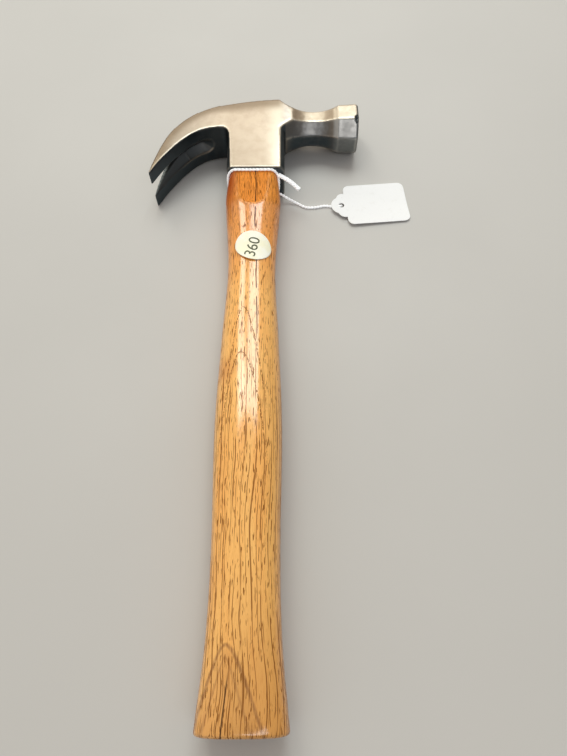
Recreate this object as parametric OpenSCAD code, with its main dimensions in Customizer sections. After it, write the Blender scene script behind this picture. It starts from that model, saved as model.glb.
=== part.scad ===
// Curved claw hammer lying on its side: forged head, wedged wooden handle, lot sticker and string tag.
// Millimetres. X runs from the claw to the striking face, Y from the butt to the head, Z up.
// Drawn about the handle's own axis, which is X = 0, Z = 0, with the butt at Y = 0. seat() moves it.

/* [Overall] */
// Butt end to the top of the bell
overall_l = 335; // [315:1:360]
// Clearance between the eye, the handle and the wedges
fit_gap = 0.08; // [0.05:0.01:0.15]
// How far the wood and the wedges stay under the head's top
flush_gap = 0.3; // [0.1:0.1:1]

/* [Striking end] */
// Handle axis to the striking face
face_x = 63; // [58:0.5:70]
// Across the bell's flats
bell_w = 27.4; // [25:0.2:30]
// Length of the bell along the head
bell_l = 12.5; // [10:0.5:15]
// How much narrower the bell is at its back, each side
bell_taper = 0.6; // [0:0.1:1.2]
// Chamfer around the striking face
face_chamfer = 1.2; // [0.5:0.1:2]
// Across the neck's flats at its waist
neck_w = 19.1; // [17:0.2:22]
// Radius of the neck's hollow
neck_r = 32.5; // [31:0.5:36]
// Waist of the neck to the back of the bell
waist_to_bell = 14.5; // [13:0.5:16]
// Size of the nick in the rim
nick_r = 1.5; // [0.5:0.1:2]

/* [Cheeks and socket] */
// Across the two cheeks
cheek_w = 24.6; // [23:0.2:26]
// Poll axis up to the crown of the head
crown_rise = 12.1; // [11.5:0.1:12.3]
// Poll axis down to the underside of the socket
socket_drop = 42.3; // [38:0.5:46]
// Socket wall towards the claw, from the handle axis
socket_claw_x = 15.2; // [14.8:0.2:17]
// Socket wall towards the face, from the handle axis
socket_face_x = 18.2; // [16.6:0.2:19]
// Chamfer along the socket's corners
socket_chamfer = 2.5; // [1.5:0.5:3.5]

/* [Claw] */
// Across both prongs at the tips
claw_w = 28; // [26:0.5:30]
// Poll axis down to the tips
tip_drop = 48; // [44:0.5:50]
// Radius of the crown
crown_r = 163.6; // [150:1:180]
// Handle axis to the crown's highest point
crown_x = 22.2; // [20:0.2:24]
// Handle axis to where the back starts to bend
bend_x = 17.9; // [17:0.1:20]
// Radius of the bend in the back of the claw
bend_r = 49.1; // [47:0.5:52]
// Turn at which the back straightens again
bend_turn = 68.7; // [66:0.5:70]
// Radius of the last stretch of the back
back_r = 150; // [120:5:200]
// Thickness of the prongs at their tips
tip_t = 0.8; // [0.5:0.1:1.5]
// Radius of the hollow under the claw
hollow_r = 29.6; // [28:0.2:31]
// Radius where the hollow meets the socket
root_r = 4; // [2:0.5:5]
// Prong gap at the tips
slot_w = 9.2; // [8:0.2:10]
// Length of the slot along the claw
slot_l = 48; // [40:1:50]
// Bevel of the slot's walls
slot_bevel = 10; // [5:1:14]
// Width and depth of the groove that seats a nail's head, on the claw's inner face
groove_w = 10; // [7:0.5:11]
groove_deep = 4.5; // [2:0.5:5]

/* [Handle] */
// Width and thickness at the butt
butt_w = 38; // [34:0.5:42]
butt_t = 28; // [27:0.2:29]
// Rounding of the butt's edge
butt_edge = 1.5; // [1:0.5:3]
// Butt to the waist behind the hand
waist_y = 68; // [60:1:76]
waist_w = 30.5; // [28:0.5:33]
waist_t = 24.8; // [23:0.2:26]
// Butt to the fullest part of the grip
grip_y = 126; // [115:1:140]
grip_w = 32.4; // [30:0.2:35]
grip_t = 26; // [24:0.2:27]
// Underside of the head down to the slimmest part
neck_down = 62; // [55:1:70]
shaft_w = 25.7; // [24:0.1:28]
shaft_t = 20.6; // [19:0.2:22]
// Width and thickness just under the head
shoulder_w = 31.3; // [30:0.1:32]
shoulder_t = 23.8; // [23:0.1:24.4]
// Width where the handle meets the head
end_w = 27.8; // [26:0.2:30]
// Thickness between the two shaved flats, under the head
flat_t = 20.4; // [19.8:0.1:21]
// Underside of the head down to the end of the flats
flat_l = 28.5; // [22:0.5:30]
// Eye length and width
eye_l = 25; // [23:0.2:26]
eye_w = 18.8; // [17:0.2:19.2]
// Corner radius of the eye
eye_r = 6; // [4:0.5:8]

/* [Wedges] */
// Wooden wedge: thickness at the top and at its tip, and depth
wood_wedge_t = 3.4; // [2.6:0.2:4]
wood_wedge_tip = 1; // [0.8:0.1:1.4]
wood_wedge_l = 27; // [24:1:32]
// Steel wedges: thickness at the top and at the tip, depth and width
steel_wedge_t = 2.4; // [1.6:0.2:3]
steel_wedge_tip = 0.8; // [0.5:0.1:1]
steel_wedge_l = 17; // [12:1:20]
steel_wedge_w = 13; // [10:0.5:14]
// Handle axis to each steel wedge
steel_wedge_x = 6.6; // [5:0.2:8]

/* [Sticker and tag] */
// Diameter and thickness of the round sticker
sticker_d = 19; // [12:0.5:20]
sticker_t = 0.2; // [0.15:0.05:0.3]
// Gap under the sticker
sticker_gap = 0.12; // [0.08:0.02:0.2]
// Underside of the head down to the sticker's centre
sticker_down = 53.4; // [45:1:75]
// Length, width and thickness of the tag
tag_l = 46.4; // [40:0.2:50]
tag_w = 29.2; // [26:0.2:32]
tag_t = 0.5; // [0.3:0.1:0.6]
// Hole in the tag
tag_hole_d = 3.4; // [2.4:0.2:4]
// Thickness of the string round the neck, of its two tails, and of the twisted lead
string_d = 1.4; // [1:0.1:1.6]
tail_d = 1.2; // [0.8:0.1:1.3]
lead_d = 1.5; // [1:0.1:1.5]

/* [Hidden] */
$fn = 64;

steel = [0.72, 0.66, 0.58];
wood = [0.80, 0.55, 0.30];
pale_wood = [0.86, 0.72, 0.50];
grey_steel = [0.50, 0.50, 0.52];
sticker_colour = [0.93, 0.88, 0.66];
paper = [0.94, 0.94, 0.93];
cotton = [0.92, 0.92, 0.90];

// Places along the handle
poll_y = overall_l - bell_w / 2;
socket_y = poll_y - socket_drop;
crown_y = poll_y + crown_rise;
tip_y = poll_y - tip_drop;
cheek = cheek_w / 2;

// Neck and bell
bell_x = face_x - bell_l;
neck_x = bell_x - waist_to_bell;
neck_c = neck_w / 2 + neck_r;
bell_back = bell_w / 2 - bell_taper;
// Where the flaring neck is as thick as the cheeks
flare_x = neck_x - sqrt(pow(neck_r, 2) - pow(neck_c - cheek, 2));
flare_start = 9;
// The flare towards the bell, which stops where it is as thick as the bell's back
flare_l = min(waist_to_bell, sqrt(pow(neck_r, 2) - pow(neck_c - bell_back, 2)));

// Back of the claw: three arcs, each tangent to the next
crown_turn = asin((crown_x + bend_x) / crown_r);
crown_a = 90 + crown_turn;
bend_a = 90 + bend_turn;
crown_c = [crown_x, crown_y - crown_r];
bend_c = crown_c + (crown_r - bend_r) * [cos(crown_a), sin(crown_a)];
back_c = bend_c + (bend_r - back_r) * [cos(bend_a), sin(bend_a)];
back_tip_a = 180 - asin((tip_y - back_c.y) / back_r);
tip_x = back_c.x + back_r * cos(back_tip_a);

// Hollow of the claw: a long arc up from the tip, a tighter one, then the root fillet
hollow_turn = 47;
hollow_low_r = 105;
hollow_rise = 10.9;
hollow_c = [-socket_claw_x - 2.6, poll_y - hollow_rise - hollow_r];
hollow_a = 90 + hollow_turn;
low_c = hollow_c + (hollow_r - hollow_low_r) * [cos(hollow_a), sin(hollow_a)];
low_tip_x = tip_x + tip_t;
low_tip_a = 180 - asin((tip_y - low_c.y) / hollow_low_r);
root_c = [-socket_claw_x - root_r,
          hollow_c.y + sqrt(pow(hollow_r - root_r, 2) - pow(hollow_c.x + socket_claw_x + root_r, 2))];
root_a = atan2(root_c.y - hollow_c.y, root_c.x - hollow_c.x);

// Where the flat cheeks end, towards the neck
cheek_x = socket_face_x - socket_chamfer - 0.8;

// The slot's own frame: x along the claw from the slot's end, y towards the handle
slot_end = [-socket_claw_x - 10.8, poll_y - 12.3];
slot_dir = atan2(tip_y - slot_end.y, tip_x - slot_end.x);
slot_half_a = atan(slot_w / 2 / slot_l);

// Where the groove round the slot ends, as a turn about the hollow's centre
groove_a = 115;

// Handle: distance from the butt, width, thickness and squareness
stations = [
    [0, butt_w, butt_t, 2.9],
    [waist_y * 0.48, waist_w + 1.5, waist_t + 1.1, 2.7],
    [waist_y, waist_w, waist_t, 2.5],
    [grip_y, grip_w, grip_t, 2.4],
    [(grip_y + socket_y - neck_down) / 2 + 2, (grip_w + shaft_w) / 2 + 0.2, (grip_t + shaft_t) / 2, 2.35],
    [socket_y - neck_down, shaft_w, shaft_t, 2.3],
    [socket_y - 17, shoulder_w, shoulder_t, 2.5],
    [socket_y - 6, shoulder_w - 1.5, shoulder_t, 2.8],
    [socket_y, end_w, shoulder_t, 3.4]
];
last = len(stations) - 1;
flat_ramp = 5.5;
flat_drop = 0.6;
around = 40;

// String round the neck
string_y = socket_y - string_d / 2 - 0.15;
string_off = string_d / 2 + 0.12;
knot_r = 1.6;
knot_a = 20;

// Rest height: the widest of claw, bell and handle lies on the ground
rest = max(claw_w / 2, bell_w / 2, max([for (y = handle_places()) along(y, 2) / 2 - edge_inset(y)]));
ground = -rest;

// The tag's hole, its lean along and across, and where the string goes
tag_up = 1.75;
tag_low = 0.12;
tag_at = [52.6, socket_y - 7, ground + tag_up];
tag_turn = 5.8;
tag_lobe_r = 6.2;
tag_lean = asin((tag_up - tag_low) / (tag_l - tag_lobe_r));
tag_step_r = 4.2;
tag_corner = 3.7;
tag_step = [1.6, 4.6];
lead_low = ground + lead_d / 2 + 0.1;
lead_route = [
    [14.8, socket_y - 1.0, ground + 6.0],
    [17.6, socket_y - 1.5, ground + 4.4],
    [20.6, socket_y - 2.4, ground + 2.7],
    [26.1, socket_y - 4.6, lead_low + 0.1],
    [31.0, socket_y - 7.4, lead_low],
    [36.8, socket_y - 7.5, lead_low],
    [42.3, socket_y - 6.4, lead_low],
    [47.2, tag_at.y + 0.2, lead_low],
    [50.9, tag_at.y, lead_low + 0.2],
    [52.7, tag_at.y, tag_at.z + 0.1]
];
tail_route = [
    [0.6, -0.1, 0],
    [4.2, -1.3, -1.0],
    [8.0, -2.9, -3.2],
    [11.4, -4.7, -5.6]
];

function arc(c, r, a0, a1, n) =
    [for (i = [1 : n]) c + r * [cos(a0 + (a1 - a0) * i / n), sin(a0 + (a1 - a0) * i / n)]];

function unit(v) = v / norm(v);

function power(v, e) = v < 0 ? -pow(-v, e) : pow(v, e);

// Rounded rectangle about the origin
function rounded(l, w, r) = let (x = l / 2 - r, y = w / 2 - r)
    concat([[l / 2, y]], arc([x, y], r, 0, 90, 8), [[-x, w / 2]], arc([-x, y], r, 90, 180, 8),
           [[-l / 2, -y]], arc([-x, -y], r, 180, 270, 8), [[x, -w / 2]], arc([x, -y], r, 270, 360, 8));

// Smooth curve through column k of the handle's stations
function slope(i, k) = let (a = max(i - 1, 0), b = min(i + 1, last))
    (stations[b][k] - stations[a][k]) / (stations[b][0] - stations[a][0]);
function along(y, k) =
    let (i = max([for (j = [0 : last - 1]) if (j == 0 || stations[j][0] <= y) j]),
         p = stations[i], q = stations[i + 1], h = q[0] - p[0], t = (y - p[0]) / h)
    p[k] * (1 + 2 * t) * pow(1 - t, 2) + slope(i, k) * h * t * pow(1 - t, 2)
    + q[k] * t * t * (3 - 2 * t) - slope(i + 1, k) * h * t * t * (1 - t);

// Height of the shaved flats: none below the shoulder, then a short ramp, then a slow taper
function flat_z(y) =
    let (d = socket_y - y, start = stations[last][2] / 2 + 1)
    d > flat_l ? butt_t :
    d > flat_l - flat_ramp ?
        flat_t / 2 + flat_drop + (start - flat_t / 2 - flat_drop) * (1 - cos(180 * (d - flat_l + flat_ramp) / flat_ramp)) / 2 :
        flat_t / 2 + flat_drop * d / (flat_l - flat_ramp);

function edge_inset(y) = y < butt_edge ? butt_edge - sqrt(pow(butt_edge, 2) - pow(butt_edge - y, 2)) : 0;

// One closed section of the handle, grown by g
function section(y, g, n) =
    let (a = along(y, 1) / 2 - edge_inset(y) + g, b = along(y, 2) / 2 - edge_inset(y) + g,
         e = 2 / along(y, 3), lim = flat_z(y) + g)
    [for (i = [0 : n - 1]) let (t = 360 * i / n, z = b * power(sin(t), e))
        [a * power(cos(t), e), y, min(max(z, -lim), lim)]];

// Height of the handle's upper surface over a point
function top_z(x, y) =
    let (a = along(y, 1) / 2, b = along(y, 2) / 2, n = along(y, 3))
    min(b * pow(1 - pow(min(abs(x) / a, 1), n), 1 / n), flat_z(y));

// Route points joined by a smooth curve, n steps to a stretch
function mid_point(p, i, t) =
    let (a = p[max(i - 1, 0)], b = p[i], c = p[i + 1], d = p[min(i + 2, len(p) - 1)])
    0.5 * (2 * b + (c - a) * t + (2 * a - 5 * b + 4 * c - d) * t * t + (3 * b - a - 3 * c + d) * t * t * t);
function smooth_route(p, n) =
    concat([for (i = [0 : len(p) - 2]) for (k = [0 : n - 1]) mid_point(p, i, k / n)], [p[len(p) - 1]]);

// Skin over rings of n points each: closed at the ends, or joined round
module skin(rings, loop = false) {
    n = len(rings[0]);
    m = len(rings);
    steps = loop ? m : m - 1;
    polyhedron(
        points = [for (r = rings) for (p = r) p],
        faces = concat(
            [for (j = [0 : steps - 1]) for (i = [0 : n - 1])
                [j * n + i, j * n + (i + 1) % n, ((j + 1) % m) * n + (i + 1) % n]],
            [for (j = [0 : steps - 1]) for (i = [0 : n - 1])
                [j * n + i, ((j + 1) % m) * n + (i + 1) % n, ((j + 1) % m) * n + i]],
            loop ? [] : [[for (i = [n - 1 : -1 : 0]) i], [for (i = [0 : n - 1]) (m - 1) * n + i]]
        ),
        convexity = 6
    );
}

// A round cord along a route of points
module tube(route, r, sides = 8, loop = false) {
    m = len(route);
    skin([for (j = [0 : m - 1])
        let (a = route[loop ? (j + m - 1) % m : max(j - 1, 0)], b = route[loop ? (j + 1) % m : min(j + 1, m - 1)],
             t = unit(b - a), s = unit(cross(t, loop ? [0, 1, 0] : [0, 0, 1])), u = cross(s, t))
        [for (i = [0 : sides - 1]) route[j] + r * (cos(360 * i / sides) * s + sin(360 * i / sides) * u)]], loop);
}

// Moves the whole part so that its origin is under the middle of its box
module seat() {
    translate([-(face_x + tip_x) / 2, -overall_l / 2, rest]) children();
}

// Extrudes an X, Z outline along Y
module along_y(y0, y1) {
    translate([0, y1, 0]) rotate([90, 0, 0]) linear_extrude(y1 - y0) children();
}

// Extrudes a Y, Z outline along X
module along_x(x0, x1) {
    translate([x0, 0, 0]) rotate([90, 0, 90]) linear_extrude(x1 - x0) children();
}

// Everything over the head's crown, lowered by gap
module over_crown(gap) {
    translate([0, 0, -20]) linear_extrude(40)
        polygon(concat(arc(crown_c, crown_r - gap, 83, crown_a, 24), [[-24, crown_y + 20], [40, crown_y + 20]]));
}

// Outline of the head seen from the side
module side_outline() {
    flare_a = acos((flare_x - crown_c.x) / crown_r);
    polygon(concat(
        [[flare_x, poll_y + 30]],
        arc(crown_c, crown_r, flare_a - 0.001, crown_a, 24),
        arc(bend_c, bend_r, crown_a, bend_a, 30),
        arc(back_c, back_r, bend_a, back_tip_a, 10),
        [[low_tip_x, tip_y]],
        arc(low_c, hollow_low_r, low_tip_a, hollow_a, 10),
        arc(hollow_c, hollow_r, hollow_a, root_a, 14),
        arc(root_c, root_r, root_a, 0, 8),
        [[-socket_claw_x, socket_y], [socket_face_x, socket_y], [socket_face_x, poll_y - 20],
         [face_x + 5, poll_y - 20], [face_x + 5, poll_y + 30]]
    ));
}

// Claw and cheeks: parallel at the eye, wider towards the tips
module cheek_slab() {
    intersection() {
        along_y(tip_y - 5, poll_y + 40) polygon([
            [cheek_x, -cheek], [cheek_x, cheek], [-socket_claw_x, cheek], [tip_x, claw_w / 2], [tip_x - 5, claw_w / 2],
            [tip_x - 5, -claw_w / 2], [tip_x, -claw_w / 2], [-socket_claw_x, -cheek]
        ]);
        translate([0, 0, -20]) linear_extrude(40) polygon([
            [tip_x - 8, tip_y - 8], [-socket_claw_x - 1, tip_y - 8], [-socket_claw_x - 1, poll_y - 14.7],
            [-socket_claw_x + 0.4, poll_y - 14.7], [-socket_claw_x + socket_chamfer - 0.4, socket_y - 1],
            [socket_face_x - socket_chamfer + 0.3, socket_y - 1], [socket_face_x - socket_chamfer + 0.3, poll_y + 40],
            [tip_x - 8, poll_y + 40]
        ]);
    }
}

// Socket below the cheeks, with chamfered corners
module socket() {
    c = socket_chamfer;
    along_y(socket_y - 1, poll_y - 11.8) polygon([
        [-socket_claw_x - 0.5, -cheek + c], [-socket_claw_x + c, -cheek], [socket_face_x - c, -cheek],
        [socket_face_x, -cheek + c], [socket_face_x, cheek - c], [socket_face_x - c, cheek],
        [-socket_claw_x + c, cheek], [-socket_claw_x - 0.5, cheek - c]
    ]);
}

// Outline of the neck and bell, the same on both sides of the poll axis
function poll_half() =
    let (a0 = 180 + acos((neck_x - flare_start) / neck_r), a1 = 360 - acos(flare_l / neck_r))
    concat(arc([neck_x, neck_c], neck_r, a0, a1, 28),
           [[bell_x, bell_back], [face_x - face_chamfer, bell_w / 2], [face_x, bell_w / 2 - face_chamfer]]);

module poll_profile() {
    upper = poll_half();
    polygon(concat(upper, [for (i = [len(upper) - 1 : -1 : 0]) [upper[i].x, -upper[i].y]]));
}

// Eight-sided neck and bell
module poll() {
    difference() {
        translate([0, poll_y, 0]) intersection_for(a = [0, 45, 90, 135])
            rotate([a, 0, 0]) linear_extrude(80, center = true) poll_profile();
        for (s = [-1, 1]) translate([0, poll_y - 40, s > 0 ? cheek : -cheek - 30])
            cube([neck_x, 80, 30]);
    }
}

// V-shaped nail slot with bevelled walls, running out at the root
module nail_slot() {
    intersection() {
        translate([slot_end.x, slot_end.y, 0]) rotate([0, 0, slot_dir]) intersection() {
            rotate([slot_bevel, -slot_half_a, 0]) translate([-100, -100, -200]) cube(200);
            mirror([0, 0, 1]) rotate([slot_bevel, -slot_half_a, 0]) translate([-100, -100, -200]) cube(200);
        }
        translate([tip_x - 10, tip_y - 10, -15]) cube([slot_end.x - tip_x + 10.5, 80, 30]);
    }
}

// One arc of the groove: the ring cut by a V-shaped cutter, between two turns
module groove_arc(centre, r, a0, a1) {
    grow = (groove_deep + 1) / groove_deep;
    translate([centre.x, centre.y, 0]) intersection() {
        rotate_extrude() polygon([
            [r - 1, -groove_w / 2 * grow], [r + groove_deep, 0], [r - 1, groove_w / 2 * grow]
        ]);
        translate([0, 0, -20]) linear_extrude(40) polygon([
            [0, 0], 2 * r * [cos(a0), sin(a0)], 2 * r * [cos((a0 + a1) / 2), sin((a0 + a1) / 2)], 2 * r * [cos(a1), sin(a1)]
        ]);
    }
}

// Bevelled groove along the claw's inner face, with the round end that its cutter leaves. The end is
// 0.25 mm wider and 0.2 mm shallower than the groove, because surfaces that only touch don't cut well
module nail_groove() {
    grow = (groove_deep + 1) / groove_deep;
    groove_arc(hollow_c, hollow_r, groove_a, hollow_a);
    groove_arc(low_c, hollow_low_r, hollow_a, hollow_a + 24);
    translate([hollow_c.x, hollow_c.y, 0]) rotate([0, 0, groove_a]) rotate([0, 90, 0])
        translate([0, 0, hollow_r - 1]) cylinder(h = groove_deep + 0.8, r1 = (groove_w / 2 + 0.25) * grow, r2 = 0);
}

module head() {
    color(steel) seat() difference() {
        intersection() {
            translate([0, 0, -30]) linear_extrude(60) side_outline();
            union() {
                cheek_slab();
                socket();
                poll();
            }
        }
        along_y(socket_y - 5, poll_y + 30) polygon(rounded(eye_l, eye_w, eye_r));
        nail_slot();
        nail_groove();
        translate([face_x - 0.6, poll_y, 0]) rotate([112.5, 0, 0])
            translate([0, bell_w / 2 / cos(22.5), 0]) sphere(r = nick_r);
    }
}

// The part of the handle inside the eye, before the wedges
module tenon() {
    difference() {
        along_y(socket_y - 3, poll_y + 25)
            polygon(rounded(eye_l - 2 * fit_gap, eye_w - 2 * fit_gap, eye_r - fit_gap));
        over_crown(flush_gap);
    }
}

// Wedge-shaped space down the middle of the eye, along its length
module wood_wedge_space(g) {
    h = crown_y - wood_wedge_l;
    along_x(-20, 20) polygon([
        [h - g, -wood_wedge_tip / 2 - g], [h - g, wood_wedge_tip / 2 + g],
        [crown_y, wood_wedge_t / 2 + g], [crown_y + 10, wood_wedge_t / 2 + g],
        [crown_y + 10, -wood_wedge_t / 2 - g], [crown_y, -wood_wedge_t / 2 - g]
    ]);
}

// Space of one steel wedge, across the wooden one
module steel_wedge_space(x, g) {
    h = crown_y - steel_wedge_l;
    translate([x, 0, -steel_wedge_w / 2 - g]) linear_extrude(steel_wedge_w + 2 * g) polygon([
        [-steel_wedge_tip / 2 - g, h - g], [steel_wedge_tip / 2 + g, h - g],
        [steel_wedge_t / 2 + g, crown_y], [steel_wedge_t / 2 + g, crown_y + 10],
        [-steel_wedge_t / 2 - g, crown_y + 10], [-steel_wedge_t / 2 - g, crown_y]
    ]);
}

// Places of the sections: close together at the butt's edge and at the ramp of the flats
function handle_places() = concat(
    [for (i = [0 : 4]) butt_edge * (1 - cos(18 * i))],
    [for (i = [0 : 31]) butt_edge + 2 + (socket_y - flat_l - butt_edge - 3) * i / 31],
    [for (i = [0 : 6]) socket_y - flat_l + flat_ramp * i / 6],
    [for (i = [1 : 3]) socket_y - flat_l + flat_ramp + (flat_l - flat_ramp) * i / 3]
);

module handle() {
    color(wood) seat() difference() {
        union() {
            skin([for (y = handle_places()) section(y, 0, around)]);
            tenon();
        }
        wood_wedge_space(0);
        for (s = [-1, 1]) steel_wedge_space(s * steel_wedge_x, 0);
    }
}

module wood_wedge() {
    color(pale_wood) seat() difference() {
        intersection() {
            tenon();
            wood_wedge_space(-fit_gap);
        }
        for (s = [-1, 1]) steel_wedge_space(s * steel_wedge_x, 0);
    }
}

module steel_wedge(x) {
    color(grey_steel) seat() difference() {
        steel_wedge_space(x, -fit_gap);
        over_crown(flush_gap);
    }
}

module steel_wedge_claw_side() {
    steel_wedge(-steel_wedge_x);
}

module steel_wedge_face_side() {
    steel_wedge(steel_wedge_x);
}

// A thin round label that follows the handle's surface
module lot_sticker() {
    rings = 6;
    steps = 36;
    cx = 1;
    cy = socket_y - sticker_down;
    flat_points = concat([[cx, cy]], [for (j = [1 : rings]) for (i = [0 : steps - 1])
        [cx, cy] + sticker_d / 2 * j / rings * [cos(360 * i / steps), sin(360 * i / steps)]]);
    n = len(flat_points);
    rim = 1 + (rings - 1) * steps;
    side = [for (i = [0 : steps - 1]) [[0, 1 + i, 1 + (i + 1) % steps]]];
    fan = [for (i = [0 : steps - 1]) [0, 1 + i, 1 + (i + 1) % steps]];
    bands = [for (j = [0 : rings - 2]) for (i = [0 : steps - 1]) for (k = [0, 1])
        let (a = 1 + j * steps + i, b = 1 + j * steps + (i + 1) % steps)
        k == 0 ? [a, a + steps, b + steps] : [a, b + steps, b]];
    upper = concat(fan, bands);
    color(sticker_colour) seat() polyhedron(
        points = concat(
            [for (p = flat_points) [p.x, p.y, top_z(p.x, p.y) + sticker_gap + sticker_t]],
            [for (p = flat_points) [p.x, p.y, top_z(p.x, p.y) + sticker_gap]]
        ),
        faces = concat(
            [for (f = upper) [f[2], f[1], f[0]]],
            [for (f = upper) [f[0] + n, f[1] + n, f[2] + n]],
            [for (i = [0 : steps - 1]) let (a = rim + i, b = rim + (i + 1) % steps) [a, b, b + n]],
            [for (i = [0 : steps - 1]) let (a = rim + i, b = rim + (i + 1) % steps) [a, b + n, a + n]]
        )
    );
}

// One turn of string under the head, its knot and its two short tails
module tag_string_loop() {
    route = section(string_y, string_off, 56);
    k = route[round(56 * knot_a / 360)];
    knot = k + unit([k.x, 0, k.z]) + [0, string_d / 2 + 0.05 - knot_r, 0];
    color(cotton) seat() {
        tube(route, string_d / 2, 8, true);
        translate(knot) sphere(r = knot_r, $fn = 24);
        for (s = [-1, 1])
            tube([for (p = smooth_route(tail_route, 4)) knot + p + [0, 0, s * tail_d * 0.45]], tail_d / 2);
    }
}

// The free stretch from under the handle to the hole of the tag
module tag_string_lead() {
    color(cotton) seat() tube(smooth_route(lead_route, 4), lead_d / 2);
}

// Stepped end of the tag, about its hole
module tag_outline() {
    difference() {
        union() {
            circle(r = tag_lobe_r);
            for (s = [-1, 1]) translate([tag_step.x, s * tag_step.y]) circle(r = tag_step_r);
            translate([(tag_l - tag_lobe_r + 2.5) / 2, 0])
                polygon(rounded(tag_l - tag_lobe_r - 2.5, tag_w, tag_corner));
        }
        circle(d = tag_hole_d);
    }
}

module tag() {
    color(paper) seat() translate(tag_at) rotate([0, tag_lean, tag_turn]) linear_extrude(tag_t) tag_outline();
}

head();
handle();
wood_wedge();
steel_wedge_claw_side();
steel_wedge_face_side();
lot_sticker();
tag_string_loop();
tag_string_lead();
tag();
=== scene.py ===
# %% [markdown]
# # A claw hammer with a round sticker and a string tag
# The measured solids of the hammer come from a CAD model. Here they are dressed: the steel gets
# its ground cheeks and dark hollows, the handle its grain and varnish, and the string its twist.
# Every piece is made in metres, in the same frame as the solids, so nothing has to be fitted.

# %% Load the measured solids
import math

import bmesh
import bpy
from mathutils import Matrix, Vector, noise


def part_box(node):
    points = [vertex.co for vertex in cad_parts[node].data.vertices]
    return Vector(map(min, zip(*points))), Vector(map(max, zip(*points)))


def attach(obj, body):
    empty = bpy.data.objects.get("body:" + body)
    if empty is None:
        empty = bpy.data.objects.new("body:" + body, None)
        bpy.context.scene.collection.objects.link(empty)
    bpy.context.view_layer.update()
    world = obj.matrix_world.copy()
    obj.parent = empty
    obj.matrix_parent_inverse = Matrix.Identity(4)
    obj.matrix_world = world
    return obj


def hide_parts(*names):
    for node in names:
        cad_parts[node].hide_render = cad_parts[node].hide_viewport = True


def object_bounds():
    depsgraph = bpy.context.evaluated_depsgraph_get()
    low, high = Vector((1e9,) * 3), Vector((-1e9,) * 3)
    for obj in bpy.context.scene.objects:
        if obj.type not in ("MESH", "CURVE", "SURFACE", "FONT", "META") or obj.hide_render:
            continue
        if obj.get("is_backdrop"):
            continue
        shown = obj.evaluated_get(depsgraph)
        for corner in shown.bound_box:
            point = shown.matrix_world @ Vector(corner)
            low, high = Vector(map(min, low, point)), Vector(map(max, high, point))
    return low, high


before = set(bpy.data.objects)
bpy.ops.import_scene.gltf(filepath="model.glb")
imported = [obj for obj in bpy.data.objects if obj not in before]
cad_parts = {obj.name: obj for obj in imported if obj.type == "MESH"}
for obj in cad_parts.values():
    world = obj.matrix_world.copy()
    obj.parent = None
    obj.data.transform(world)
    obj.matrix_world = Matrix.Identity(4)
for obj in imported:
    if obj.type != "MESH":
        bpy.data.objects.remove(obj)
cad_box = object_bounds()
MM = 0.001
print("solids:", ", ".join(sorted(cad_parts)))

# %% [markdown]
# ## The camera
# The photograph was taken from over the butt, looking down and a little towards the head. A
# camera's place and lens can be found from the outline: move it until the corners of the solids
# fall on the same pixels as in the photograph. These are the values that came out of that.

# %% Camera
def placed(name, data):
    """A new object with this data, in the scene."""
    made = bpy.data.objects.new(name, data)
    bpy.context.scene.collection.objects.link(made)
    return made


camera_lens = bpy.data.cameras.new("camera")
camera_lens.lens = 27.05
camera_lens.sensor_width = 36
camera = placed("camera", camera_lens)
camera.location = (0.01444, -0.13070, 0.27354)
camera.rotation_euler = (math.radians(24.011), 0, math.radians(-0.272))
bpy.context.scene.camera = camera
bpy.context.scene.view_settings.view_transform = "Standard"
print("camera stands", round(camera.location.z, 3), "m over the table")

# %% [markdown]
# ## The hammer's own millimetres
# On a real handle everything is measured from its middle line and from the butt. It is easier to
# think in those millimetres, so one function turns such a place into the scene's metres, and
# another turns a mesh's corner back into those millimetres.

# %% Places on the hammer
FACE_X = 63.0  # the striking face, from the handle's middle line
LENGTH = 335.0
REST = 14.0  # the middle plane over the table
GROUND = -REST
SOCKET_Y = 279.0  # the head's lower end, from the butt
POLL_Y = 321.3  # the axis of the neck and the bell
seat = Vector((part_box("head")[1].x / MM - FACE_X, -LENGTH / 2, REST))


def on_hammer(x, y, z):
    """A place measured from the handle's middle line and the butt, in the scene's metres."""
    return (Vector((x, y, z)) + seat) * MM


def hammer_place(corner):
    """Where a mesh's corner lies, in the hammer's millimetres."""
    return corner.co / MM - seat


def clamp(value):
    return min(max(value, 0.0), 1.0)


print("the socket's end is at", [round(v, 4) for v in on_hammer(0, SOCKET_Y, 0)])

# %% [markdown]
# ## A rolled sheet
# A handle, a string and a round sticker are all a flat sheet of squares that has been rolled up.
# So one helper makes the sheet with create_grid, moves each corner to its place, and merges the
# two sides that meet. A ring that has shrunk to a point becomes a closed end in the same step.

# %% Rolled sheets
MERGE = 2e-6  # corners closer than this, in metres, become one


def rolled_sheet(around, along_it, place):
    """A sheet of around x along_it squares. place(u, v) says where a corner goes, in metres."""
    bm = bmesh.new()
    bmesh.ops.create_grid(bm, x_segments=around, y_segments=along_it, size=0.5)
    for corner in bm.verts:
        corner.co = place(corner.co.x + 0.5, corner.co.y + 0.5)
    bmesh.ops.remove_doubles(bm, verts=bm.verts, dist=MERGE)
    bmesh.ops.recalc_face_normals(bm, faces=bm.faces)
    return bm


def joined(parts):
    """Several bmeshes as one."""
    whole = bmesh.new()
    for part in parts:
        keep = bpy.data.meshes.new("part")
        part.to_mesh(keep)
        part.free()
        whole.from_mesh(keep)
        bpy.data.meshes.remove(keep)
    return whole


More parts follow.
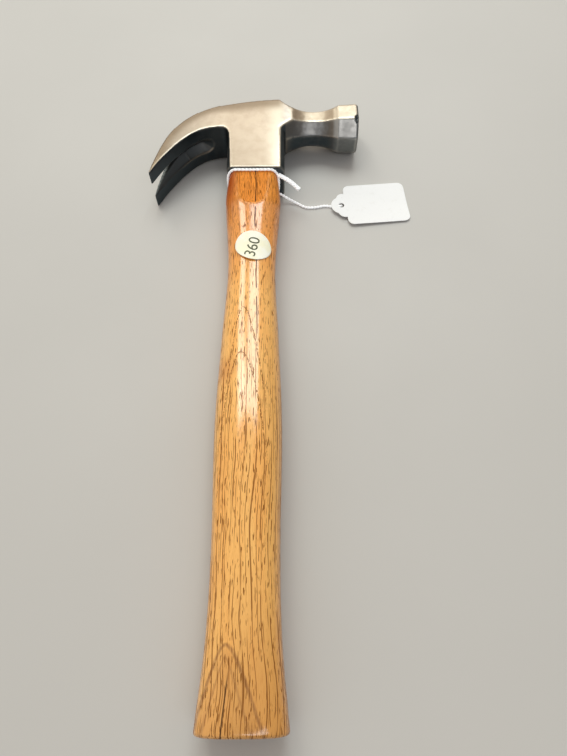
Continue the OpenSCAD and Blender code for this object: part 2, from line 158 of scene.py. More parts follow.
def piece(bm, name, material, stands_for=()):
    """A smooth-shaded object that rides on the hammer and stands for the named solids."""
    mesh = bpy.data.meshes.new(name)
    bm.to_mesh(mesh)
    bm.free()
    for face in mesh.polygons:
        face.use_smooth = True
    mesh.materials.append(material)
    made = placed(name, mesh)
    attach(made, "root")
    if stands_for:
        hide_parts(*stands_for)
    print(name, "has", sum(len(f.vertices) - 2 for f in mesh.polygons), "triangles")
    return made


# %% [markdown]
# ## Nodes without the clicking
# A material is a small graph. These helpers add one node or one sum to it in a line, so that the
# recipe of a finish can be read from top to bottom.

# %% Node helpers
class Work:
    """The node tree that the helpers add to: that of the newest material or group."""

    tree = None


def connect(made, inputs):
    """Gives a node's inputs plain values, or links from other nodes' sockets."""
    for key, value in inputs.items():
        if isinstance(value, bpy.types.NodeSocket):
            Work.tree.links.new(value, made.inputs[key])
        else:
            made.inputs[key].default_value = value
    return made


def add_node(kind, inputs=None, **settings):
    made = Work.tree.nodes.new("ShaderNode" + kind)
    for name, value in settings.items():
        setattr(made, name, value)
    return connect(made, inputs or {})


def calc(operation, a, b=0.0, c=0.0):
    """One sum with up to three numbers."""
    return add_node("Math", {0: a, 1: b, 2: c}, operation=operation).outputs[0]


def times(a, b):
    return calc("MULTIPLY", a, b)


def plus(a, b):
    return calc("ADD", a, b)


def minus(a, b):
    return calc("SUBTRACT", a, b)


def times_plus(a, b, c):
    return calc("MULTIPLY_ADD", a, b, c)


def larger(a, b):
    return calc("MAXIMUM", a, b)


def size_of(a):
    return calc("ABSOLUTE", a)


def fade(value, start, end, low=0.0, high=1.0):
    """A soft step: low before start, high after end."""
    steps = {0: value, 1: start, 2: end, 3: low, 4: high}
    return add_node("MapRange", steps, interpolation_type="SMOOTHSTEP").outputs[0]


def mixed(share, *colours):
    """Two colours mixed by a share from 0 to 1. Each is a node's socket or three numbers."""
    first, second = (c if isinstance(c, bpy.types.NodeSocket) else (*c, 1) for c in colours)
    return add_node("Mix", {0: share, 6: first, 7: second}, data_type="RGBA").outputs[2]


def speckle(where, stretch, detail=2.0, rough=0.5):
    """Noise from 0 to 1. stretch is how many blobs a millimetre holds, in all or each direction."""
    scale = (stretch, stretch, stretch) if isinstance(stretch, (int, float)) else stretch
    laid = add_node("Mapping", {"Vector": where, "Scale": scale}).outputs[0]
    noises = {"Vector": laid, "Scale": 1.0, "Detail": detail, "Roughness": rough}
    return add_node("TexNoise", noises).outputs[0]


def parts_of(place):
    """The x, y and z of a place."""
    return add_node("SeparateXYZ", {0: place}).outputs


def paint_of(name):
    """What was painted on the mesh's corners under this name."""
    return add_node("Attribute", attribute_name=name).outputs["Fac"]


def group(name, takes, gives, build):
    """A node group that takes vectors and gives numbers. build fills it in."""
    Work.tree = tree = bpy.data.node_groups.new(name, "ShaderNodeTree")
    for label in takes:
        tree.interface.new_socket(name=label, in_out="INPUT", socket_type="NodeSocketVector")
    for label in gives:
        tree.interface.new_socket(name=label, in_out="OUTPUT", socket_type="NodeSocketFloat")
    inside = tree.nodes.new("NodeGroupInput")
    outside = tree.nodes.new("NodeGroupOutput")
    connect(outside, build(inside.outputs))
    return tree


def use(effect, **inputs):
    """Places a group in a material and returns its outputs."""
    made = Work.tree.nodes.new("ShaderNodeGroup")
    made.node_tree = effect
    return connect(made, inputs).outputs


def feed(shader, **inputs):
    """Links what varies, or gives what doesn't, to the shader's inputs."""
    connect(shader, {key.replace("_", " "): value for key, value in inputs.items()})


def finish(name, **fixed):
    """An empty material with its Principled shader, whose plain values are set here."""
    made = bpy.data.materials.new(name)
    made.use_nodes = True
    Work.tree = made.node_tree
    shader = Work.tree.nodes["Principled BSDF"]
    feed(shader, **fixed)
    return made, shader


def bump(height, depth, strength=1.0):
    """Turns a height from 0 to 1 into a normal. depth is in metres."""
    heights = {"Strength": strength, "Distance": depth, "Height": height}
    return add_node("Bump", heights).outputs[0]


def hammer_millimetres():
    """Object coordinates as the hammer's own millimetres."""
    corner = add_node("TexCoord").outputs["Object"]
    moved = add_node("VectorMath", {0: corner, 1: seat * MM}, operation="SUBTRACT").outputs[0]
    return add_node("VectorMath", {0: moved, "Scale": 1000.0}, operation="SCALE").outputs[0]


# %% [markdown]
# ## Cotton
# String is white, but never flat white: fibres catch the light and the grooves between the
# strands are a little grey. Fine speckle does for the fibres, in the colour and in the bump. A
# little emission in the string's own colour is a painted glow that keeps the string bright.

# %% Cotton material
def cotton_finish():
    # the emission is a painted glow
    made, shader = finish(
        "tag_cotton", Roughness=0.85, Sheen_Weight=0.9, Sheen_Roughness=0.5, Emission_Strength=0.3
    )
    where = hammer_millimetres()
    fibre = speckle(where, 6, 3)
    cloud = speckle(where, 0.5, 2)
    colour = mixed(fade(fibre, 0.3, 0.7), (0.96, 0.975, 0.99), (0.99, 0.995, 1.0))
    colour = mixed(fade(cloud, 0.6, 0.85, 0, 0.2), colour, (0.88, 0.87, 0.85))
    feed(shader, Base_Color=colour, Emission_Color=colour, Normal=bump(fibre, 0.00012, 0.7))
    return made


cotton = cotton_finish()

# %% [markdown]
# ## The string's free end
# The free end is 1.5 mm cotton twine of two strands, limp, 40.8 mm of it, from under the handle
# down to the table and along to the hole of the tag. The line is a smooth curve through ten
# measured points. Two strands are then wound round it, half a turn apart.

# %% The lead from the handle to the tag
LEAD_D = 1.5
LEAD_LOW = GROUND + LEAD_D / 2 + 0.1
LAY = 3.8  # millimetres to one twist of the two strands
LEAD_STRAND = 0.47, 0.31  # a strand's radius, and how far its middle is off the line
STRAND_SIDES = 10
END_WIDTH, END_REACH = (1, 0.86, 0.5, 0), (0, 0.5, 0.85, 1)  # the steps of a strand's round end
TAG_UP = 1.75  # the tag's hole over the table
TAG_AT = Vector((52.6, SOCKET_Y - 7, GROUND + TAG_UP))
lead_points = [
    (14.8, SOCKET_Y - 1.0, GROUND + 6.0),
    (17.6, SOCKET_Y - 1.5, GROUND + 4.4),
    (20.6, SOCKET_Y - 2.4, GROUND + 2.7),
    (26.1, SOCKET_Y - 4.6, LEAD_LOW + 0.1),
    (31.0, SOCKET_Y - 7.4, LEAD_LOW),
    (36.8, SOCKET_Y - 7.5, LEAD_LOW),
    (42.3, SOCKET_Y - 6.4, LEAD_LOW),
    (47.2, TAG_AT.y + 0.2, LEAD_LOW),
    (50.9, TAG_AT.y, LEAD_LOW + 0.2),
    (52.7, TAG_AT.y, TAG_AT.z + 0.1),
]


def smooth_line(points, steps):
    """A smooth curve through every point, with so many steps to a stretch."""
    p = [Vector(q) for q in points]
    line = []
    for i in range(len(p) - 1):
        a, b, c, d = p[max(i - 1, 0)], p[i], p[i + 1], p[min(i + 2, len(p) - 1)]
        for k in range(steps):
            t = k / steps
            bent = 2 * b + (c - a) * t + (2 * a - 5 * b + 4 * c - d) * t**2
            line.append(0.5 * (bent + (3 * b - a - 3 * c + d) * t**3))
    return line + [p[-1]]


def run_of(line):
    """How far along the line each of its points is."""
    far = [0.0]
    for a, b in zip(line, line[1:]):
        far.append(far[-1] + (b - a).length)
    return far


def point_at(line, far, t):
    """The place and the direction at a share t of the line."""
    want = t * far[-1]
    i = 0
    while i < len(far) - 2 and far[i + 1] < want:
        i += 1
    a, b = line[i], line[i + 1]
    return a.lerp(b, (want - far[i]) / max(far[i + 1] - far[i], 1e-9)), (b - a).normalized()


def strand(line, radius, offset, turns, phase, steps, closed=False, up=(0, 0, 1), fray=0.0):
    """One strand wound round a line, as a rolled sheet. One that isn't closed gets round ends."""
    far = run_of(line)
    ends = 0 if closed else 3

    def place(u, v):
        step = round(v * (steps + 2 * ends))
        t = clamp((step - ends) / steps)
        over = max(ends - step, step - ends - steps, 0)
        centre, ahead = point_at(line, far, t)
        if not closed:
            back = point_at(line, far, max(t - 0.02, 0))[1]
            front = point_at(line, far, min(t + 0.02, 1))[1]
            ahead = (back + ahead + front).normalized()
        side = ahead.cross(Vector(up)).normalized()
        lift = side.cross(ahead)
        turn = math.tau * (turns * t) + phase
        around = math.tau * u
        reach = END_REACH[over] * radius * (1 if step > steps else -1)
        wide = radius * (1 + fray * max(0.0, t - 0.8) / 0.2) * END_WIDTH[over]
        centre = centre + offset * (math.cos(turn) * side + math.sin(turn) * lift)
        rim = wide * (math.cos(around) * side + math.sin(around) * lift)
        return on_hammer(*(centre + ahead * reach + rim))

    return rolled_sheet(STRAND_SIDES, steps + 2 * ends, place)


lead_line = smooth_line(lead_points, 4)
lead_length = run_of(lead_line)[-1]
lead_strands = [
    strand(lead_line, *LEAD_STRAND, lead_length / LAY, k * math.pi, 130) for k in (0, 1)
]
lead = piece(joined(lead_strands), "string_lead", cotton, ["tag_string_lead"])
print("the lead is", round(lead_length, 1), "mm long")

# %% [markdown]
# ## The string round the neck
# One turn of the same string goes round the handle, right under the head, and is knotted at the
# corner on the striking face's side. The turn has to follow the handle's own section, so the
# handle's shape comes first. A shaved handle is a row of rounded sections: each station has a
# width, a thickness and a squareness, and smooth curves run between the stations.

# %% The handle's sections
stations = [
    # distance from the butt, width, thickness, squareness
    (0, 38, 28, 2.9),
    (32.64, 32, 25.9, 2.7),
    (68, 30.5, 24.8, 2.5),
    (126, 32.4, 26, 2.4),
    (173.5, 29.25, 23.3, 2.35),
    (217, 25.7, 20.6, 2.3),
    (262, 31.3, 23.8, 2.5),
    (SOCKET_Y - 6, 29.8, 23.8, 2.8),
    (SOCKET_Y, 27.8, 23.8, 3.4),
]
BUTT_EDGE = 1.5  # radius of the butt's rounded edge
ROLL, ROLL_L = 0.85, 7  # how much the broad faces fall off at the butt, and over what length
FLAT_T, FLAT_L = 20.4, 28.5  # thickness between the shaved flats, and their length
FLAT_RAMP, FLAT_DROP, FLAT_BOW = 5.5, 0.6, 0.045  # length of their ramp, taper, bow of the ramp
NO_FLAT = 28.0  # a height over every part of the handle
WIDTH, THICKNESS, SQUARENESS = 1, 2, 3


def slope(i, column):
    """How steep the smooth curve is at a station."""
    a, b = max(i - 1, 0), min(i + 1, len(stations) - 1)
    return (stations[b][column] - stations[a][column]) / (stations[b][0] - stations[a][0])


def along(y, column):
    """The width, thickness or squareness at a distance from the butt."""
    i = max(j for j in range(len(stations) - 1) if j == 0 or stations[j][0] <= y)
    p, q = stations[i], stations[i + 1]
    h = q[0] - p[0]
    t = (y - p[0]) / h
    return (
        p[column] * (1 + 2 * t) * (1 - t) ** 2
        + slope(i, column) * h * t * (1 - t) ** 2
        + q[column] * t * t * (3 - 2 * t)
        - slope(i + 1, column) * h * t * t * (1 - t)
    )


def flat_height(y, x=0.0):
    """How high the shaved flat under the head lies: a short bowed ramp, then a slow taper."""
    d = SOCKET_Y - y + FLAT_BOW * x * x
    start = stations[-1][THICKNESS] / 2 + 1
    if d > FLAT_L:
        return NO_FLAT
    if d > FLAT_L - FLAT_RAMP:
        lift = (1 - math.cos(math.pi * (d - FLAT_L + FLAT_RAMP) / FLAT_RAMP)) / 2
        return FLAT_T / 2 + FLAT_DROP + (start - FLAT_T / 2 - FLAT_DROP) * lift
    return FLAT_T / 2 + FLAT_DROP * d / (FLAT_L - FLAT_RAMP)


def edge_inset(y):
    """How much the rounded edge of the butt takes off."""
    return BUTT_EDGE - math.sqrt(BUTT_EDGE**2 - (BUTT_EDGE - y) ** 2) if y < BUTT_EDGE else 0.0


def roll(y):
    """The broad faces fall off a little over the last millimetres before the butt."""
    return ROLL * (1 - y / ROLL_L) ** 2 if y < ROLL_L else 0.0


def power(v, e):
    """v to the power e, with v's own sign."""
    return math.copysign(abs(v) ** e, v)


def soft_cap(z, cap, soft=0.3):
    """z held under cap, with a soft edge where the two meet."""
    height = abs(z)
    if cap - height > 8 * soft:
        return z
    return math.copysign(-soft * math.log(math.exp(-height / soft) + math.exp(-cap / soft)), z)


def section_point(y, angle, grow=0.0):
    """A point of the handle's section, from the middle line, in millimetres."""
    a = along(y, WIDTH) / 2 - edge_inset(y) + grow
    b = along(y, THICKNESS) / 2 - edge_inset(y) - roll(y) + grow
    e = 2 / along(y, SQUARENESS)
    z = b * power(math.sin(angle), e)
    x = a * power(math.cos(angle), e)
    return Vector((x, y, soft_cap(z, flat_height(y, x) + grow)))


def round_height(x, y):
    """How high the rounded section is over a point, without its flats."""
    a, b, n = along(y, WIDTH) / 2, along(y, THICKNESS) / 2, along(y, SQUARENESS)
    return b * (1 - min(abs(x) / a, 1) ** n) ** (1 / n)


def top_height(x, y):
    """The height of the handle's upper surface over a point."""
    z = round_height(x, y)
    return soft_cap(z, flat_height(y, x)) if z > 0 else 0.0


print("widest", round(max(along(y, WIDTH) for y in range(int(SOCKET_Y))), 1), "mm")

# %% The turn, the knot and the two cut tails
STRING_D, STRING_GAP, TAIL_D = 1.4, 0.12, 1.2
TURN_STRAND, TAIL_STRAND = (0.55, 0.22), (0.45, 0.26)
TURN_TWISTS, TAIL_TWISTS = 22, 4.2
TURN_POINTS, TURN_STEPS = 160, 420
string_y = SOCKET_Y - STRING_D / 2 - 0.15
turn_line = [
    section_point(string_y, math.tau * i / TURN_POINTS, STRING_D / 2 + STRING_GAP)
    for i in range(TURN_POINTS)
]
turn_line.append(turn_line[0])
turn_strands = [
    strand(turn_line, *TURN_STRAND, TURN_TWISTS, k * math.pi, TURN_STEPS, closed=True, up=(0, 1, 0))
    for k in (0, 1)
]

KNOT_ANGLE = math.radians(20)
KNOT_DROP = 1.6
KNOT_POINTS = 90
knot_on = section_point(string_y, KNOT_ANGLE, STRING_D / 2 + STRING_GAP)
knot_out = Vector((knot_on.x, 0, knot_on.z)).normalized()
knot = knot_on + knot_out + Vector((0, STRING_D / 2 + 0.05 - KNOT_DROP, 0))
tail_ahead = Vector((0.80, -0.33, -0.42)).normalized()
tail_side = tail_ahead.cross(Vector((0, 0, 1))).normalized()
tail_lift = tail_side.cross(tail_ahead)


def knot_place(t):
    """An overhand knot: a trefoil with its axis along the tails."""
    right, up = math.sin(t) + 2 * math.sin(2 * t), math.cos(t) - 2 * math.cos(2 * t)
    loop = 0.34 * (right * tail_side + up * tail_lift)
    return knot + loop - 0.42 * math.sin(3 * t) * tail_ahead


knot_line = [knot_place(math.tau * i / KNOT_POINTS) for i in range(KNOT_POINTS + 1)]
knot_strand = strand(knot_line, 0.52, 0.0, 0, 0, KNOT_POINTS, closed=True, up=tail_ahead)
tail_points = [
    (-0.4, 0.1, 0.0), (0.9, -0.2, -0.1), (4.2, -1.5, -1.2), (8.0, -3.2, -3.2), (11.5, -5.1, -5.6)
]
tails = []
for way in (-1, 1):
    spread = tail_side * way * TAIL_D * 0.70 + tail_lift * way * 0.12
    tail_line = [p + knot + spread for p in smooth_line(tail_points, 6)]
    longer = 1.0 if way < 0 else 0.965
    tail_line = tail_line[: round(len(tail_line) * longer)]
    for k in (0, 1):
        turned = k * math.pi + way
        tails.append(strand(tail_line, *TAIL_STRAND, TAIL_TWISTS, turned, 70, fray=0.3))
turn_and_knot = joined([*turn_strands, knot_strand, *tails])
piece(turn_and_knot, "string_turn", cotton, ["tag_string_loop"])

# %% [markdown]
# ## The paper tag
# The tag is a stamped sheet with a stepped end and a punched hole. Its outline is already in the
# solid, so a copy of it is merged and cut into small squares with bisect_plane. A cut sheet can
# bend: its long edges curl up a little, as card does that has been in a drawer.

# %% Paper material
def paper_finish():
    made, shader = finish("tag_card", Roughness=0.75)
    where = hammer_millimetres()
    fibre = speckle(where, 3, 4, 0.6)
    smudge = speckle(where, 0.28, 3, 0.6)
    specks = speckle(where, 0.8, 1)
    colour = mixed(fade(fibre, 0.3, 0.75), (0.91, 0.915, 0.92), (0.95, 0.955, 0.965))
    colour = mixed(fade(smudge, 0.56, 0.72, 0, 0.5), colour, (0.86, 0.86, 0.85))
    colour = mixed(fade(specks, 0.74, 0.79, 0, 0.35), colour, (0.55, 0.55, 0.60))
    rough = fade(fibre, 0.2, 0.8, 0.68, 0.85)
    feed(shader, Base_Color=colour, Roughness=rough, Normal=bump(fibre, 0.00004, 0.5))
    return made


# %% The tag
TAG_L, TAG_W, TAG_T, TAG_LOBE_R = 46.4, 29.2, 0.5, 6.2
TAG_THIN = 0.16  # how much thinner than the solid it is drawn
TAG_LOW = 0.12  # its far end over the table
TAG_TURN = math.radians(5.8)
tag_lean = math.asin((TAG_UP - TAG_LOW) / (TAG_L - TAG_LOBE_R))
flat_long = math.cos(tag_lean)
tag_long = Vector(
    (math.cos(TAG_TURN) * flat_long, math.sin(TAG_TURN) * flat_long, -math.sin(tag_lean))
)
tag_across = Vector((-math.sin(TAG_TURN), math.cos(TAG_TURN), 0))
tag_normal = tag_long.cross(tag_across)


def merged_copy(node):
    """A copy of a solid's mesh with its loose triangles joined."""
    bm = bmesh.new()
    bm.from_mesh(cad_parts[node].data)
    bmesh.ops.remove_doubles(bm, verts=bm.verts, dist=MERGE)
    return bm


def cut(bm, at, way, **more):
    """Cuts a whole mesh by a plane."""
    everything = bm.verts[:] + bm.edges[:] + bm.faces[:]
    bmesh.ops.bisect_plane(bm, geom=everything, plane_co=at, plane_no=way, **more)


sheet_of_tag = merged_copy("tag")
bmesh.ops.dissolve_limit(
    sheet_of_tag, angle_limit=math.radians(0.5), verts=sheet_of_tag.verts, edges=sheet_of_tag.edges
)
for way, back, count in ((tag_long, 5.5, 46), (tag_across, 14.2, 29)):
    start = TAG_AT - way * back
    for k in range(count):
        cut(sheet_of_tag, on_hammer(*(start + way * k)), way)
for corner in sheet_of_tag.verts:
    here = hammer_place(corner) - TAG_AT
    far, across, up = here.dot(tag_long), here.dot(tag_across), here.dot(tag_normal)
    thin = -TAG_THIN * (up / TAG_T)
    curl = 0.55 * (across / (TAG_W / 2)) ** 2 * clamp(far / 40) + 0.25 * max(0, far / 40 - 0.4)
    wave = 0.22 * noise.noise(Vector((far / 16, across / 12, 3.1))) * clamp((far - 4) / 10)
    corner.co += tag_normal * (thin + max(0, curl + wave)) * MM
many_sided = [face for face in sheet_of_tag.faces if len(face.verts) > 4]
bmesh.ops.triangulate(sheet_of_tag, faces=many_sided)
bmesh.ops.recalc_face_normals(sheet_of_tag, faces=sheet_of_tag.faces)
tag_piece = piece(sheet_of_tag, "paper_tag", paper_finish(), ["tag"])
for face in tag_piece.data.polygons:
    face.use_smooth = abs(face.normal.dot(tag_normal)) > 0.9
on_hammer(*lead_points[0])

# %% [markdown]
# ## Hickory grain
# Hickory has open pores, which show as short dark dashes along the wood, and growth rings, which
# show as long thin lines. Where the handle swells or flares, the spokeshave cut through the rings
# at a slant, and there they show as arches. The dashes are stretched noise. The lines are the
# marks of a ruler laid across the wood, which drift a little and break off here and there. The
# arches are drawn one by one, as flat hyperbolas on the upper face, where the photograph has them.

# %% The grain group
HALF_THICK = 13.0  # about half of the handle's thickness


def build_grain(given):
    where = given["Place"]
    sway = minus(speckle(where, (0.10, 0.04, 0.10), 1.0), 0.5)
    sideways = add_node("CombineXYZ", {0: times(sway, 2.0), 2: times(sway, 1.4)})
    moved = {0: where, 1: sideways.outputs[0]}
    swayed = add_node("VectorMath", moved, operation="ADD").outputs[0]
    tone = speckle(where, (0.12, 0.012, 0.12), 3.0)
    dash = speckle(swayed, (2.1, 0.17, 2.1), 1.5, 0.5)
    limit = fade(tone, 0.35, 0.65, 0.625, 0.585)
    pores = fade(minus(dash, limit), 0.0, 0.035)
    # the rings run on down both sides, and drift a little
    spot = parts_of(swayed)
    below_top = minus(HALF_THICK, size_of(spot[2]))
    across = times_plus(below_top, fade(spot[0], -9, 9, -0.8, 0.8), spot[0])
    across = times_plus(speckle(where, (0.014, 0.010, 0.014), 1.5), 11.0, across)
    across = times_plus(speckle(where, (0.045, 0.018, 0.045), 2.0), 4.0, across)
    lines = 0.0
    for per_mm, low, high, strength in ((0.21, 0.035, 0.065, 1.0), (0.37, 0.05, 0.09, 0.8)):
        mark = calc("FRACT", times(across, per_mm))
        line = fade(size_of(minus(mark, 0.5)), low, high, strength, 0.0)
        part_of = speckle(swayed, (1.4 * per_mm, 0.028, 1.4 * per_mm), 2.0)
        line = times(line, fade(part_of, 0.44, 0.53))
        lines = larger(lines, line)
    fine = speckle(swayed, (4.0, 0.22, 4.0), 3.0, 0.6)
    return {"Pores": pores, "Lines": lines, "Tone": tone, "Fine": fine}


grain = group("wood_grain", ["Place"], ["Pores", "Lines", "Tone", "Fine"], build_grain)


def arch(x, y, tip, steep, blunt, left):
    """How far outside an arch a place lies, in millimetres. The arch opens towards the butt."""
    side = minus(x, tip[0])
    side = larger(side, times(side, -left))
    reach = calc("SQRT", times_plus(side, side, blunt**2))
    level = times_plus(minus(reach, blunt), steep, minus(y, tip[1]))
    lean = times(calc("DIVIDE", side, reach), steep)
    return calc("DIVIDE", level, calc("SQRT", times_plus(lean, lean, 1.0)))


def thin_line(distance, half_width):
    """1 on a line, 0 beside it."""
    return fade(size_of(distance), half_width * 0.5, half_width * 1.3, 1.0, 0.0)


# %% Varnished handle wood
def varnished_finish():
    made, shader = finish("varnished_handle_wood", Coat_Roughness=0.14, Coat_IOR=1.75, IOR=1.2)
    where = hammer_millimetres()
    parts = parts_of(where)
    x, y, z = parts[0], parts[1], parts[2]
    shaved = paint_of("shaved")
    wood = use(grain, Place=where)
    wobble = times_plus(speckle(where, (0.3, 0.12, 0.0), 2.0), 2.4, -1.2)
    x_soft = times_plus(wobble, 0.4, x)
    light, darker = (1.0, 0.535, 0.14), (0.98, 0.46, 0.10)
    colour = mixed(fade(wood["Tone"], 0.35, 0.65), light, darker)
    # browner towards the butt; by the face's side, down both sides and underneath it is a painted
    # shade
    low = times(fade(y, 75, 5), fade(x, -12, 8, 0.15, 0.8))
    # painted shade: browner by the face's side
    brown = larger(low, fade(x, 4, 16, 0, 0.3))
    colour = mixed(brown, colour, (0.66, 0.29, 0.055))
    # painted shade: darker down both sides and over the lower half
    colour = mixed(fade(z, 7.5, 2.0, 0, 0.5), colour, (0.46, 0.19, 0.035))
    # the arch at the butt, with darker wood inside it, and two arches in the middle
    butt_arch = arch(x_soft, y, (-6.5, 32), 2.7, 4.5, 1.25)
    inside = fade(butt_arch, 1.0, -3.0, 0, 0.30)
    colour = mixed(inside, colour, (0.46, 0.20, 0.05))
    for inward, strength in ((0.0, 0.66), (4.4, 0.4)):
        from_line = size_of(plus(butt_arch, inward))
        shade = fade(from_line, 0.1, 1.2, strength, 0.0)
        shade = times(shade, fade(wood["Fine"], 0.30, 0.58, 0.35, 1.3))
        colour = mixed(shade, colour, (0.25, 0.095, 0.015))
    arches = 0.0
    middle_arches = (((-3.3, 187.3), 6.9, 6.0, 1.45), ((-3.9, 161.3), 13.0, 20.0, 1.4))
    for tip, *shape in middle_arches:
        middle = thin_line(arch(x_soft, y, tip, *shape), 0.36)
        middle = times(middle, fade(y, tip[1] - 62, tip[1] - 38))
        arches = larger(arches, middle)
    broken = fade(speckle(where, (1.3, 0.8, 1.3), 2.0), 0.42, 0.52)
    arches = times(arches, broken)
    # a small knot by the claw's side
    to_knot = {0: where, 1: (-12.0, 153.0, 9.0)}
    from_knot = add_node("VectorMath", to_knot, operation="DISTANCE").outputs["Value"]
    knot_shade = fade(times_plus(wobble, 1.2, from_knot), 9.5, 3.0, 0, 0.5)
    colour = mixed(knot_shade, colour, (0.66, 0.24, 0.035))
    # redder under the head and at the corner by the claw
    red = times(fade(y, 190, 245), 0.72)
    red = larger(red, times(shaved, 0.92))
    colour = mixed(red, colour, (0.87, 0.275, 0.026))
    streaks = times(fade(wood["Fine"], 0.42, 0.62), fade(y, 225, 262, 0, 0.7))
    colour = mixed(streaks, colour, (0.40, 0.115, 0.012))
    corner = times(fade(x, -6, -13), fade(y, 238, 272))
    colour = mixed(times(corner, 0.9), colour, (0.36, 0.050, 0.008))
    colour = mixed(fade(wood["Fine"], 0.42, 0.75, 0, 0.42), colour, (0.56, 0.20, 0.025))
    lines = times(wood["Lines"], fade(y, 172, 140, 0.25, 1.0))
    marks = larger(larger(wood["Pores"], lines), arches)
    colour = mixed(times(marks, 0.86), colour, (0.20, 0.060, 0.004))
    # one long dark line down from the head
    bend = minus(speckle(where, (0.0, 0.035, 0.0), 2.0), 0.5)
    line_x = times_plus(bend, 2.6, 1.4)
    line_x = plus(line_x, times(minus(SOCKET_Y, y), 0.022))
    off = size_of(minus(x, line_x))
    long_line = times(fade(off, 0.18, 0.42, 1, 0), fade(y, 150, 190))
    gaps = speckle(where, (0.0, 0.10, 0.0), 1.0)
    long_line = times(long_line, fade(gaps, 0.36, 0.46))
    long_line = times(long_line, fade(y, 282, 280))
    # and a short crack at the butt
    crack_x = times_plus(y, 0.10, -7.3)
    crack_x = plus(crack_x, times(bend, 1.2))
    off = size_of(minus(x, crack_x))
    crack = times(fade(off, 0.16, 0.42, 1, 0), fade(y, 26, 16))
    marked = times(larger(long_line, crack), fade(z, 0, 4))
    colour = mixed(times(marked, 0.9), colour, (0.055, 0.018, 0.006))
    # the tenon's end grain is bare and brown
    colour = mixed(fade(y, 288, 300, 0, 0.75), colour, (0.34, 0.18, 0.075))
    # the varnish is thin in the pores, down the sides, on the shaved flats and under the head
    hollow = larger(marks, marked)
    height = minus(times(wood["Fine"], 0.15), hollow)
    rough = times_plus(hollow, 0.3, 0.32)
    rough = times_plus(shaved, 0.2, rough)
    coat = times_plus(hollow, -0.8, 1.0)
    coat = times(coat, times_plus(shaved, -0.93, 1.0))
    coat = times(coat, fade(y, 253, 259, 1.0, 0.12))
    coat = times(coat, fade(z, 0, 8, 0.35, 1.0))
    normal = bump(height, 0.00012, 0.6)
    feed(shader, Base_Color=colour, Roughness=rough, Coat_Weight=coat, Normal=normal)
    return made


varnished_wood = varnished_finish()

# %% [markdown]
# ## The handle
# The handle is one rolled sheet through all its sections, with rows close together where the edge
# of the butt rounds off and where the shaved flats begin. The tenon in the eye keeps its exact
# shape: it is cut from a copy of the solid with bisect_plane and let a little into the rest.

# %% The handle's rows
HANDLE_AROUND = 176
ROW_GAP, RAMP_GAP = 1.3, 0.45
TENON_IN = 1.2  # how far the tenon's foot goes into the rolled sheet
rows = [(0.0, share) for share in (0.0, 0.25, 0.5, 0.75, 0.93)]
rows += [(BUTT_EDGE * (1 - math.cos(math.radians(15 * k))), 1.0) for k in range(7)]
y = BUTT_EDGE + 0.6
while y < SOCKET_Y - 0.3:
    rows.append((y, 1.0))
    near_ramp = SOCKET_Y - FLAT_L - 3 < y < SOCKET_Y - FLAT_L + FLAT_RAMP + 2
    y += RAMP_GAP if near_ramp else ROW_GAP
rows += [(SOCKET_Y, 1.0), (SOCKET_Y, 0.6), (SOCKET_Y, 0.0)]


def handle_place(u, v):
    """A corner of the handle's sheet. A row's share draws it in towards the middle line."""
    y, share = rows[round(v * (len(rows) - 1))]
    point = section_point(y, math.tau * u)
    return on_hammer(point.x * share, y, point.z * share)


handle_shell = rolled_sheet(HANDLE_AROUND, len(rows) - 1, handle_place)
shaved_layer = handle_shell.verts.layers.float.new("shaved")
for corner in handle_shell.verts:
    here = hammer_place(corner)
    if SOCKET_Y - FLAT_L < here.y < SOCKET_Y + 0.1:
        taken = round_height(here.x, here.y) - flat_height(here.y, here.x)
        corner[shaved_layer] = clamp((taken - 0.15) / 0.35)
tenon = merged_copy("handle")
cut(tenon, on_hammer(0, SOCKET_Y + 0.2, 0), (0, 1, 0), clear_inner=True)
rim = [edge for edge in tenon.edges if edge.is_boundary]
foot = bmesh.ops.extrude_edge_only(tenon, edges=rim)["geom"]
foot = [g for g in foot if isinstance(g, bmesh.types.BMVert)]
bmesh.ops.translate(tenon, verts=foot, vec=(0, -TENON_IN * MM, 0))
bmesh.ops.holes_fill(tenon, edges=[edge for edge in tenon.edges if edge.is_boundary])
bmesh.ops.recalc_face_normals(tenon, faces=tenon.faces)
whole_handle = joined([handle_shell, tenon])
handle = piece(whole_handle, "handle_wood", varnished_wood, ["handle"])
for face in handle.data.polygons:
    face.use_smooth = face.center.y < on_hammer(0, SOCKET_Y - 0.02, 0).y and face.normal.y > -0.95

# %% [markdown]
# ## The wedges
# A wooden wedge spreads the tenon in the eye and two steel ones lock it. They are plain solids and
# keep their measured shape. Bare end grain and dull steel are all that they need.

# %% Wedge materials
def bare_wood_finish():
    made, shader = finish("wedge_wood", Roughness=0.7)
    where = hammer_millimetres()
    wood = use(grain, Place=where)
    colour = mixed(fade(wood["Fine"], 0.3, 0.7), (0.62, 0.42, 0.20), (0.48, 0.29, 0.12))
    colour = mixed(times(wood["Pores"], 0.7), colour, (0.20, 0.10, 0.04))
    rough = fade(wood["Fine"], 0.2, 0.8, 0.6, 0.8)
    feed(shader, Base_Color=colour, Roughness=rough, Normal=bump(wood["Fine"], 0.0001, 0.5))
    return made


def build_steel(given):
    where = given["Place"]
    mottle = speckle(where, 0.16, 4.0, 0.6)
    ground = speckle(where, given["Stretch"], 2.0, 0.6)
    pits = speckle(where, 1.3, 2.0, 0.6)
    return {"Mottle": mottle, "Grinding": ground, "Pits": fade(pits, 0.70, 0.76)}


steel_gives = ["Mottle", "Grinding", "Pits"]
steel_grain = group("steel_grain", ["Place", "Stretch"], steel_gives, build_steel)


